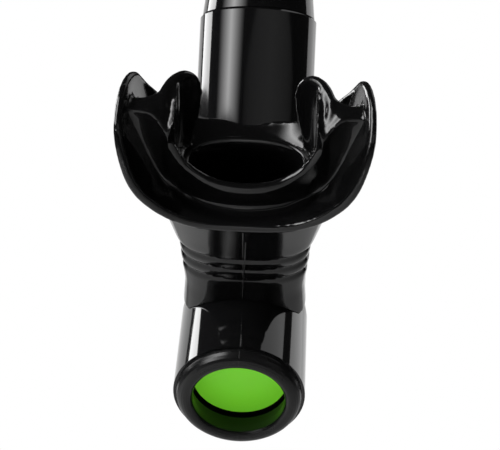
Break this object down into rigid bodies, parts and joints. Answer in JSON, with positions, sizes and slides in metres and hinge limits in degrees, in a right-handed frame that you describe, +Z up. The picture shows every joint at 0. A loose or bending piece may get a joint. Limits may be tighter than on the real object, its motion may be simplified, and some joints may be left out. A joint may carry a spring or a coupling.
{
  "type": "dry snorkel",
  "caption": "Black dry snorkel: silicone mouthpiece on an oval neck, purge chamber with green valve, swivelling barrel, strap keeper and float-closed top.",
  "frame": {"origin": "centre of the mouthpiece opening, where the wearer's lips close", "axes": "+Z up along the barrel, -Y towards the wearer, X across, the mouthpiece is symmetric about X = 0"},
  "size_m": [0.0646, 0.1188, 0.4502],
  "materials": {
    "silicone_black": "smooth glossy silicone",
    "gloss_black": "polished",
    "satin_black": "satin",
    "silicone_green": "smooth silicone",
    "seal_rubber": "matt",
    "green_plastic": "polished",
    "float_grey": "fine moulded texture",
    "steel": "fine turned"
  },
  "bodies": {
    "housing": {"lower_housing": "gloss_black", "mouthpiece": "silicone_black", "valve_seat": "satin_black", "purge_rim": "satin_black"},
    "membrane": {"purge_membrane": "silicone_green"},
    "upper_tube": {"swivel_adapter": "gloss_black", "swivel_o_ring": "seal_rubber", "barrel": "gloss_black", "visibility_band": "green_plastic", "top_base": "satin_black", "port_gasket": "seal_rubber", "arm_pin": "steel", "top_cover": "gloss_black", "top_cap": "green_plastic", "cap_screws": "steel"},
    "float_lever": {"float_arm": "satin_black", "port_seal": "silicone_green", "float": "float_grey"},
    "keeper": {"keeper_collar": "satin_black"},
    "clip": {"strap_clip": "gloss_black", "gate_pin": "steel"},
    "gate": {"clip_gate": "gloss_black"}
  },
  "joints": [
    {"name": "tube_swivel", "type": "hinge", "parent": "housing", "child": "upper_tube", "pos_m": [0, 0.05734, 0.0503], "axis": [0, 0, 1], "range_deg": [-60, 60]},
    {"name": "purge_lift", "type": "slide", "parent": "housing", "child": "membrane", "axis": [0, -0.7132, -0.7009], "range_m": [0, 0.0015], "stiffness_N_per_m": 60},
    {"name": "keeper_slide", "type": "slide", "parent": "upper_tube", "child": "keeper", "axis": [0, 0, 1], "range_m": [-0.05, 0.1]},
    {"name": "clip_turn", "type": "hinge", "parent": "keeper", "child": "clip", "pos_m": [0, 0.05734, 0.158], "axis": [0, 0, 1], "continuous": true},
    {"name": "gate_hinge", "type": "hinge", "parent": "clip", "child": "gate", "pos_m": [0.02518, 0.05734, 0.1422], "axis": [0, 1, 0], "range_deg": [0, 80]},
    {"name": "float_swing", "type": "hinge", "parent": "upper_tube", "child": "float_lever", "pos_m": [0, 0.07194, 0.3541], "axis": [1, 0, 0], "range_deg": [0, 18]}
  ]
}
